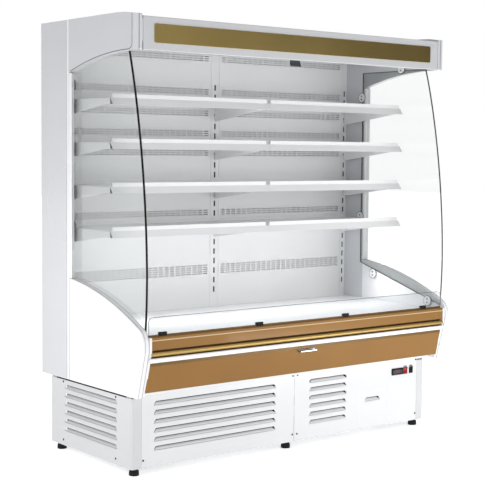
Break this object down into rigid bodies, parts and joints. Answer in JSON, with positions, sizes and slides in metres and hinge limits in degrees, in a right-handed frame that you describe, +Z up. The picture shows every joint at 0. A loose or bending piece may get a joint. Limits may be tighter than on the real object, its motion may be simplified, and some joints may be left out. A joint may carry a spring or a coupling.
{
  "type": "open multideck display fridge",
  "caption": "Free-standing open refrigerated display case with hooked shelves, side glass, a roll-down night blind and a louvred machine base.",
  "frame": {"origin": "centre of the overall footprint, on the floor", "axes": "+X along the shelves to the customer's right, +Y to the back wall, +Z up"},
  "size_m": [1.92, 0.9, 2.05],
  "materials": {
    "white_enamel": "gloss powder coat over galvanised sheet",
    "grey_enamel": "satin pale grey powder coat",
    "foam_shell": "white coated skins over foamed insulation",
    "gold_lacquer": "satin metallic gold lacquer",
    "gold_rail": "polished gold anodised extrusion",
    "gold_strip": "satin metallic dark gold lacquer",
    "bumper_white": "semi-gloss extruded bumper",
    "clear_glass": "clear tempered glass, polished edges",
    "clear_riser": "clear sheet with a cut edge",
    "black_plastic": "fine-grained moulded plastic",
    "red_plastic": "translucent glossy moulded plastic",
    "bright_steel": "satin",
    "galvanised": "spangled zinc",
    "aluminium": "mill finish",
    "fan_plastic": "moulded",
    "compressor_paint": "baked black enamel",
    "lamp_white": "opal diffuser",
    "blind_fabric": "woven coated blind cloth"
  },
  "bodies": {
    "cabinet": {"insulated_body": "foam_shell", "side_wall_right": "grey_enamel", "side_wall_left": "grey_enamel", "end_cap_right": "grey_enamel", "end_cap_left": "grey_enamel", "lower_side_panel_right": "white_enamel", "lower_side_panel_left": "white_enamel", "canopy_housing": "white_enamel", "ceiling_air_panel": "white_enamel", "upright_middle": "white_enamel", "back_panel_right": "white_enamel", "back_panel_left": "white_enamel", "deck_pan_right": "white_enamel", "deck_pan_left": "white_enamel", "base_side_panel_right": "white_enamel", "base_side_panel_left": "white_enamel", "base_front_panel_left": "white_enamel", "base_front_panel_right": "white_enamel", "shelf_right_1": "white_enamel", "shelf_right_2": "white_enamel", "shelf_right_3": "white_enamel", "shelf_right_4": "white_enamel", "shelf_left_1": "white_enamel", "shelf_left_2": "white_enamel", "shelf_left_3": "white_enamel", "shelf_left_4": "white_enamel", "canopy_gold_strip": "gold_strip", "front_panel_upper": "gold_lacquer", "front_panel_lower": "gold_lacquer", "front_rail": "gold_rail", "front_bumper": "bumper_white", "side_glass_right": "clear_glass", "side_glass_left": "clear_glass", "riser_glass": "clear_riser", "riser_holder": "black_plastic", "controller": "black_plastic", "foot_front_left": "black_plastic", "foot_front_middle": "black_plastic", "foot_front_right": "black_plastic", "foot_rear_left": "black_plastic", "foot_rear_middle": "black_plastic", "foot_rear_right": "black_plastic", "blind_catch": "bright_steel", "base_frame": "galvanised", "blind_cassette": "aluminium", "condenser_coil": "aluminium", "evaporator_coil": "aluminium", "compressor": "compressor_paint", "canopy_lamp": "lamp_white"},
    "night_blind": {"blind_pull_bar": "aluminium", "blind_fabric": "blind_fabric"},
    "blind_roller": {"blind_roller": "blind_fabric"},
    "tray": {"condensate_tray": "white_enamel"},
    "condenser_fan": {"condenser_fan": "fan_plastic"},
    "evaporator_fan_left": {"evaporator_fan_left": "fan_plastic"},
    "evaporator_fan_right": {"evaporator_fan_right": "fan_plastic"},
    "key_left": {"controller_key_left": "black_plastic"},
    "key_right": {"controller_key_right": "black_plastic"},
    "main_rocker": {"main_switch": "red_plastic"},
    "light_rocker": {"light_switch": "black_plastic"}
  },
  "joints": [
    {"name": "night_blind_pull", "type": "slide", "parent": "cabinet", "child": "night_blind", "axis": [0, -0.1483, -0.9889], "range_m": [0, 1.4], "stiffness_N_per_m": 15, "springref_m": -0.8, "deforming": ["blind_fabric"]},
    {"name": "blind_roller_turn", "type": "hinge", "parent": "cabinet", "child": "blind_roller", "pos_m": [0, -0.24757, 1.936], "axis": [1, 0, 0], "range_deg": [0, 4300]},
    {"name": "tray_slide", "type": "slide", "parent": "cabinet", "child": "tray", "axis": [0, -1, 0], "range_m": [0, 0.25]},
    {"name": "condenser_fan_spin", "type": "hinge", "parent": "cabinet", "child": "condenser_fan", "pos_m": [-0.4, -0.145, 0.1883], "axis": [0, 1, 0], "continuous": true},
    {"name": "evaporator_fan_left_spin", "type": "hinge", "parent": "cabinet", "child": "evaporator_fan_left", "pos_m": [-0.35, -0.07, 0.5033], "axis": [0, 1, 0], "continuous": true},
    {"name": "evaporator_fan_right_spin", "type": "hinge", "parent": "cabinet", "child": "evaporator_fan_right", "pos_m": [0.35, -0.07, 0.5033], "axis": [0, 1, 0], "continuous": true},
    {"name": "key_left_press", "type": "slide", "parent": "cabinet", "child": "key_left", "axis": [0, 1, 0], "range_m": [0, 0.0012], "stiffness_N_per_m": 800, "springref_m": -0.0015},
    {"name": "key_right_press", "type": "slide", "parent": "cabinet", "child": "key_right", "axis": [0, 1, 0], "range_m": [0, 0.0012], "stiffness_N_per_m": 800, "springref_m": -0.0015},
    {"name": "main_switch_rock", "type": "hinge", "parent": "cabinet", "child": "main_rocker", "pos_m": [0.788, -0.2965, 0.308], "axis": [1, 0, 0], "range_deg": [0, 16]},
    {"name": "light_switch_rock", "type": "hinge", "parent": "cabinet", "child": "light_rocker", "pos_m": [0.8305, -0.2965, 0.308], "axis": [1, 0, 0], "range_deg": [0, 16]}
  ],
  "couplings": [
    {"joint": "blind_roller_turn", "follows": "night_blind_pull", "rad_per_m": 52.632}
  ]
}
